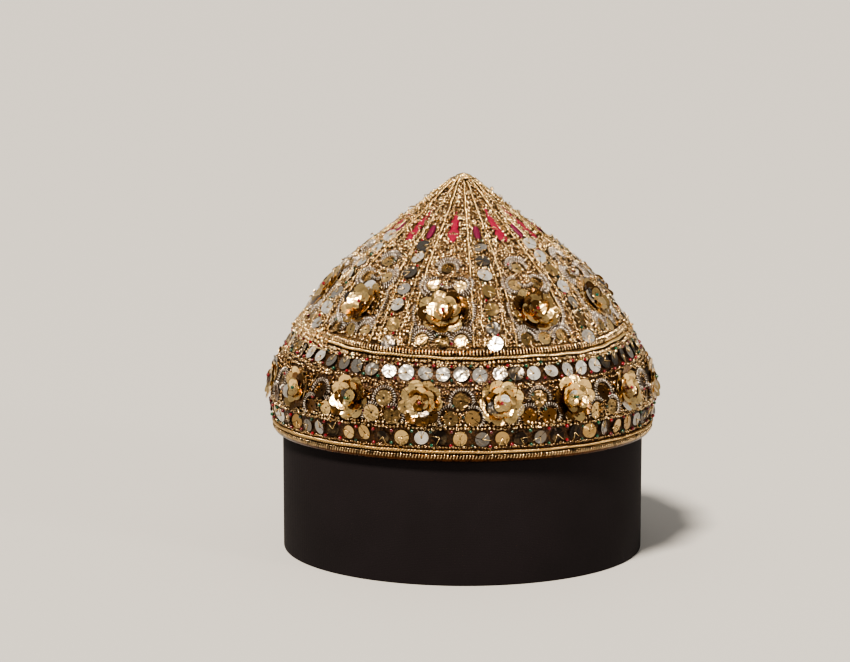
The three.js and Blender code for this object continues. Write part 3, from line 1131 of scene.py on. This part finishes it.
def makeWrapped(name, heightAt, wrap, node, tint):
    # wire wound round a flat core that runs all round the cap
    steps = wrap["turns"] * wrap["stepsPerTurn"]
    turn = evenTurns(steps)
    angle = np.arange(steps) * fullTurn / wrap["stepsPerTurn"]
    height = heightAt(turn) + wrap["halfTall"] * np.cos(angle)
    lift = wrapLift + wrap["halfDeep"] * np.sin(angle)
    leaned = turn + wrap["slant"] * np.cos(angle) / clothRadius(height)
    wire = windWire([capPoint(leaned, height, lift)], wrap["wireRadius"], closed=True)
    section = []
    for a in evenTurns(10):
        rise = wrap["coreTall"] * math.cos(a) - wrap["coreDrop"]
        coreLift = wrapLift + wrap["halfDeep"] * 0.9 * math.sin(a)
        section.append({"height": lineAbove(heightAt, rise), "lift": coreLift})
    core = ringShape(section, 150)
    makePiece(name, [asBatch(core, 0.0), asBatch(wire, tint)], [wornPurl], [node])


# the middle of both braids above the cloth
wrapLift = 0.95
seamWrap = {
    "turns": 330, "stepsPerTurn": 8, "halfTall": 1.2, "halfDeep": 0.75, "slant": 0.3,
    "wireRadius": 0.5, "coreTall": 1.1, "coreDrop": 0.0,
}
rimWrap = {
    "turns": 400, "stepsPerTurn": 9, "halfTall": 1.0, "halfDeep": 0.85, "slant": 0.6,
    "wireRadius": 0.42, "coreTall": 1.65, "coreDrop": 0.85,
}


def ringPlaces(heightAt, pitch):
    turn = np.linspace(0, fullTurn, 721)
    number = int(pathLength(capPoint(turn, heightAt(turn), 0)) / pitch)
    turns = evenTurns(number)
    return turns, heightAt(turns)


def beadRing(heightAt, size, lift, jitter, bright):
    turn, height = strayed(*ringPlaces(heightAt, trims["beadPitch"] * size), 0.2, jitter)
    axes = leanedAxes(turn, height, (0.2, 1.2), (0.85, 1.1)) * size
    beads = rng.uniform(0, 1, len(turn)) < 0.5
    origins, tints = capPoint(turn, height, lift), rng.uniform(0.2, bright, len(turn))
    return [
        copies(goldBead, origins[beads], axes[beads], tints[beads]),
        copies(purlLoop, origins[~beads], axes[~beads], tints[~beads]),
    ]


# the line that each row follows and the row's height above it, then its beads' size, lift and
# jitter up the cloth, and the brightest tint
beadRows = [
    (handLaid, -2.0, 1.0, 1.5, 0.12, 1.0),
    (seamAt, -3.6, 1.0, 1.1, 0.3, 1.0),
    (seamAt, -11.4, 0.9, 0.7, 0.35, 0.7),
    (seamAt, -13.2, 0.95, 0.7, 0.4, 0.7),
    (lowerEdge, 16.2, 0.95, 0.7, 0.25, 0.7),
    (lowerEdge, 18.0, 0.95, 0.7, 0.35, 0.9),
    (lowerEdge, 7.3, 0.75, 0.7, 0.2, 0.5),
]


def makeBeadRows():
    batches = []
    for line, rise, *looks in beadRows:
        batches += beadRing(lineAbove(line, rise), *looks)
    makePiece("beadRows", batches, [giltPurl])


makeRingCord("seamCord", handLaid, 0.8, "seam_cord")
makeRingCord("rimCord", lambda turn: trims["rimCordHeight"] + 0.1 * np.sin(23 * turn), 0.4, "rim_cord")
makeWrapped("seamBraid", lineAbove(seamAt, 2.4), seamWrap, "seam_braid", 0.85)
makeWrapped("rimBinding", lineAbove(lowerEdge, 2.8), rimWrap, "rim_binding", 0.6)
makeBeadRows()
print("trims")


# Red and green seed beads beside the discs

seeds = {
    "rowAside": 3.2,         # above and below the line of a row's discs
    "ribAside": 1.9,
    "spangleAside": 4.2,
    "spangleShare": 0.6,     # spangles that have a bead
    "redShare": 0.62,
    "lift": 1.6,
}


def seedPlaces():
    places = []
    for upper in (True, False):
        turn, height = rowPlaces(upper)
        for side in (-1, 1):
            places.append((turn + fullTurn / rows["count"] / 2, height + side * seeds["rowAside"]))
    turn, height = ribDiscPlaces()
    aside = rng.choice([-1, 1], len(turn)) * seeds["ribAside"]
    places.append(besides(turn, height, aside, ribs["discPitch"] / 2))
    for centres, spangles in ((goreCentres, goreSpangles), (bandCentres, bandSpangles)):
        for turn, height in centres:
            for x, y, _ in spangles:
                if rng.uniform() < seeds["spangleShare"]:
                    angle = anyAngle()
                    seedX = x + seeds["spangleAside"] * math.cos(angle)
                    seedY = y + seeds["spangleAside"] * math.sin(angle)
                    places.append(besides(np.array([turn]), height, seedX, np.array([seedY])))
    return strayed(*joined(places), aside=0.3, tall=0.3)


def makeSeeds():
    turn, height = seedPlaces()
    number = len(turn)
    towards, size = anyAngle(number), rng.uniform(0.85, 1.1, number)
    axes = tilted(capAxes(turn, height), math.radians(90), towards, 0.0, size)
    origins = capPoint(turn, height, seeds["lift"])
    red = rng.uniform(0, 1, number) < seeds["redShare"]
    tints = rng.uniform(0, 1, number)
    batches = [
        copies(seedBead, origins[red], axes[red], tints[red], 0),
        copies(seedBead, origins[~red], axes[~red], tints[~red], 1),
    ]
    makePiece("seedBeads", batches, [redGlass, greenGlass])


makeSeeds()
print("seed beads")


# Silk leaves of the gores and silk patches of the ribs

leaf = {
    "foot": 96.0,
    "length": 24.5,
    "width": 6.0,
    "lift": 0.7,
    "patchLift": 1.5,
    "clearSteps": (1.5, 18.5, 9),    # first and last place up it that is kept clear, and how many
    "clearShare": 0.75,              # the share of its half width that is kept clear there
}


def leafHalf(t):
    # half the width at a share of the length, widest near the foot
    swell = math.sin(math.pi * min(1, t * 0.94 + 0.06)) ** 0.6 * (1.15 - 0.75 * t)
    return max(0.15, swell * leaf["width"] / 2)


def patchHalf(t):
    return max(0.3, math.sin(math.pi * (0.04 + 0.92 * t)) ** 0.4 * ribs["patchWidth"] / 2)


def makeSilks():
    batches = []
    for turn in goreTurns:
        phase, size = anyAngle(), rng.uniform(0.85, 1.1)

        def frayedHalf(t):
            ragged = 0.2 * math.sin(t * 15 + phase) + 0.14 * math.sin(t * 37 + 2 * phase)
            return leafHalf(t) * size * (1 + ragged)

        length = leaf["length"] * size
        shape = stripShape(length, frayedHalf, rowsUp=26, across=6, crown=0.5, thickness=0.35)
        batches.append(asBatch(sewnDown(shape, turn + rng.normal(0, 0.02), leaf["foot"], leaf["lift"]), 0.5))
    makePiece("silkLeaves", batches, [crimsonSilk])
    length = ribs["patchLength"]
    shape = stripShape(length, patchHalf, rowsUp=10, across=4, crown=0.4, thickness=0.35)
    patches = [sewnDown(shape, turn, ribs["patchFoot"], leaf["patchLift"]) for turn in ribTurns]
    batches = [asBatch(patch, 0.5) for patch in patches]
    makePiece("silkPatches", batches, [magentaSilk])


makeSilks()
print("silks")


# The field of purl that fills what is left

field = {
    "rowPitch": 1.7,
    "columnPitch": 1.7,
    "firstColumn": 1.5,      # from a rib's cord
    "topRadius": 3.4,        # of the cap where the rows stop
    "sideFrom": 0.87,        # sine of the turn past which purl covers the seam
    "sideFoot": -11.0,       # foot of the crown's purl from the seam, at the sides
    "foot": 4.4,             # and elsewhere
    "bandFoot": 19.9,
    "bandTop": -14.6,        # top of the band's purl from the seam
    "startBelow": 8.0,       # the crown's first row from seamHeight
    "lean": (0.1, 1.2),      # radians
    "size": (0.85, 1.15),
    "lift": (0.5, 1.0),
    "seamFoot": -1.6,        # purl covers the seam from here up to the ribs' foot
    "seamLift": 1.1,         # and stands this much higher there
    "strayShare": 0.07,      # grains that stand out further
    "strayLift": (0.5, 1.6),
}
clear = {"ribDisc": 3.7, "upperDisc": 3.8, "lowerDisc": 3.4, "flower": 7.6, "spangle": 0.92, "arc": 1.4}


def keptClear():
    # centres and radii, in mm, of everything that purl isn't sewn under
    spots = []

    def note(turn, height, radius):
        points = capPoint(turn, height, 0) / mm
        spots.append(np.c_[points, np.broadcast_to(radius, len(points))])

    note(*ribDiscPlaces(), clear["ribDisc"])
    note(*rowPlaces(True), clear["upperDisc"])
    note(*rowPlaces(False), clear["lowerDisc"])
    for centres in (bandFlowerPlaces, goreCentres):
        note(*np.array(centres).T, clear["flower"])
    for places in (gorePlaces, bandPlaces):
        note(places[:, 0], places[:, 1], places[:, 2] * clear["spangle"])
    for centres, arcs in ((goreCentres, goreArcs), (bandCentres, bandArcs)):
        for turn, height in centres:
            for arc in arcs:
                number = int(arcLength(arc) / bullion["pitch"])
                note(*arcOnCloth(turn, height, arc, number), clear["arc"])
    for turn in goreTurns:
        steps = np.linspace(*leaf["clearSteps"])
        # one row of purl crosses each leaf near its foot
        steps = np.delete(steps, rng.integers(1, 5))
        half = np.array([leafHalf(s / leaf["length"]) for s in steps])
        note(*besides(turn, leaf["foot"], 0 * steps, steps), half * leaf["clearShare"])
    for turn in ribTurns:
        steps = np.linspace(1, ribs["patchLength"] - 1, 6)
        note(*besides(turn, ribs["patchFoot"], 0 * steps, steps), ribs["patchWidth"] / 2 + 0.3)
    return np.concatenate(spots)


def clearOf(turn, height, spots):
    points = capPoint(turn, height, 0) / mm
    free = np.ones(len(points), dtype=bool)
    for block in np.array_split(np.arange(len(points)), 30):
        apart = np.linalg.norm(points[block, None, :] - spots[None, :, :3], axis=2)
        free[block] = np.all(apart > spots[None, :, 3], axis=1)
    return free


def atSide(turn):
    # at the two sides the purl runs down over the seam and between the upper discs
    return np.abs(np.sin(turn)) > field["sideFrom"]


def crownField():
    # rows round the crown, in columns that run beside each rib's cords
    places = []
    sector = fullTurn / cloth["ribCount"]
    level = cloth["seamHeight"] - field["startBelow"]
    while clothRadius(level) > field["topRadius"]:
        radius = float(clothRadius(level))
        ribHalf = cloth["ribHalfTurn"] * radius
        goreHalf = sector / 2 * radius - ribHalf
        inner = np.arange(field["firstColumn"], ribHalf, field["columnPitch"])
        outer = np.arange(field["firstColumn"], goreHalf + 0.5, field["columnPitch"])
        aside = np.concatenate([ribHalf - inner, ribHalf + outer])
        for rib in ribTurns:
            for side in (-1, 1):
                places.append((rib + side * aside / radius, np.full(len(aside), level)))
        level = float(climb(level, field["rowPitch"]))
    turn, height = joined(places)
    above = height > seamAt(turn) + np.where(atSide(turn), field["sideFoot"], field["foot"])
    return turn[above], height[above]


def bandField():
    places = []
    level = field["bandFoot"]
    while level < cloth["seamHeight"] + cloth["seamRise"]:
        number = int(fullTurn * float(clothRadius(level)) / field["columnPitch"])
        turn = (np.arange(number) + rng.uniform(0, 1)) * fullTurn / number
        places.append((turn, np.full(number, level)))
        level += field["rowPitch"]
    turn, height = joined(places)
    below = height < seamAt(turn) + field["bandTop"]
    return turn[below], height[below]


def makeField(name, places, spots, tintRange):
    turn, height = strayed(*places, aside=0.2, tall=0.2)
    free = clearOf(turn, height, spots)
    turn, height = turn[free], height[free]
    number = len(turn)
    axes = leanedAxes(turn, height, field["lean"], field["size"])
    # purl stands higher on a rib's tape, and where it covers the seam
    nearest = np.min(np.abs(np.angle(np.exp(1j * (turn[:, None] - ribTurns[None, :])))), axis=1)
    aboveSeam = height - seamAt(turn)
    onRib = (nearest < cloth["ribHalfTurn"]) & (aboveSeam > ribs["foot"])
    overSeam = (aboveSeam > field["seamFoot"]) & (aboveSeam < ribs["foot"])
    lift = rng.uniform(*field["lift"], number) + onRib * ribs["tapeLift"] + overSeam * field["seamLift"]
    stray = rng.uniform(0, 1, number) < field["strayShare"]
    origins = capPoint(turn, height, lift + stray * rng.uniform(*field["strayLift"], number))
    tints = tintRange[0] + (tintRange[1] - tintRange[0]) * rng.beta(1.1, 1.1, number)
    batches = scattered([purlKnot, purlKnot, purlLoop, purlHook, purlHook], origins, axes, tints)
    makePiece(name, batches, [giltPurl])


spots = keptClear()
turn, height = crownField()
middle = float(heightWhere(62))
for name, chosen in (("lowerCrownPurl", height < middle), ("upperCrownPurl", height >= middle)):
    makeField(name, (turn[chosen], height[chosen]), spots, (0.25, 1.0))
# the band's purl takes darker tints than the crown's, as painted shade for the band where less light falls
makeField("bandPurl", bandField(), spots, (0.0, 0.55))
print("purl field")


# Loose ends of gilt thread that have worked out of the purl

looseEnds = {"count": 150, "reach": 2.6, "length": 4.0, "wireRadius": 0.2}


def makeLooseEnds():
    paths = []
    for _ in range(looseEnds["count"]):
        turn = anyAngle()
        height = rng.uniform(cloth["seamHeight"] + cloth["seamRise"], heightWhere(14))
        length = looseEnds["length"] * rng.uniform(0.6, 1.2)
        along = np.linspace(0, 1, 7)
        towards, bend = anyAngle(), rng.uniform(-0.5, 0.5)
        angle = towards + bend * along * 2
        x, y = np.cos(angle) * along * length, np.sin(angle) * along * length
        lift = 0.6 + looseEnds["reach"] * rng.uniform(0.5, 1.1) * np.sin(along * 2.2)
        paths.append(capPoint(*besides(turn, height, x, y), lift))
    shape = windWire(paths, looseEnds["wireRadius"])
    makePiece("looseEnds", [asBatch(shape, 0.8)], [giltCord])


makeLooseEnds()
print("loose ends")


# The button at the point

button = {
    "radius": 3.6,
    "plyPitch": 2.4,
    "plySpread": 0.36,
    "plyRadius": 0.42,
    "knots": 30,
    "rings": [
        {"share": 1.0, "rise": 0.0},
        {"share": 0.8, "rise": 0.9},
        {"share": 0.5, "rise": 1.4},
        {"share": 0.2, "rise": 1.7},
    ],
}


def makeButton():
    # a pale plied cord coiled over the point, with purl sewn close round it
    turn = np.linspace(0, fullTurn, 60, endpoint=False)
    rim = capPoint(turn, heightWhere(button["radius"]), 0.9)
    outs = np.broadcast_to([0.0, 0.0, 1.0], rim.shape)
    sides = np.stack([np.sin(turn), -np.cos(turn), 0 * turn], -1)
    paths = []
    for ring in button["rings"]:
        centres = rim * [ring["share"], ring["share"], 1] + [0.3 * mm, 0, ring["rise"] * mm]
        length = pathLength(np.vstack([centres[-1:], centres]))
        pitch = length / max(2, round(length / button["plyPitch"]))
        paths += plied(centres, outs, sides, pitch, button["plySpread"])
    coil = windWire(paths, button["plyRadius"], closed=True)
    number = button["knots"]
    around = anyAngle(number)
    height = heightWhere(button["radius"] + 1.6) + rng.uniform(-0.8, 0.8, number)
    axes = leanedAxes(around, height, (0, 1)) * 0.9
    knots = copies(purlHook, capPoint(around, height, 1.2), axes, rng.uniform(0.4, 1, number), 1)
    makePiece("button", [asBatch(coil, 0.9), knots], [giltCord, giltPurl], ["button"])


makeButton()
print("button")


# The drum

drum = {"wall": 3.0, "edge": 0.6, "around": 160}


def makeDrum():
    outer = drumCorner.y / mm
    inner = outer - drum["wall"]
    top = drumCorner.z / mm
    profile = [(outer, 0), (outer, top * 0.5), (outer, top), (inner, top), (inner, top * 0.5), (inner, 0)]
    bm = spinShape(profile, drum["around"])
    rings = []
    for edge in bm.edges:
        a, b = edge.verts[0].co, edge.verts[1].co
        level = abs(a.z - b.z) < 1e-4 and (a.z < 1 or a.z > top - 1)
        if level and abs(a.xy.length - b.xy.length) < 0.5:
            rings.append(edge)
    bmesh.ops.bevel(
        bm, geom=rings, offset=drum["edge"], offset_type="OFFSET", segments=2, profile=0.5,
        affect="EDGES", material=-1,
    )
    shape = takeShape(bm)
    shape["points"] = shape["points"] * mm
    makePiece("drum", [asBatch(shape, 0.5)], [drumCloth], ["drum_stand"])


makeDrum()
print("drum")
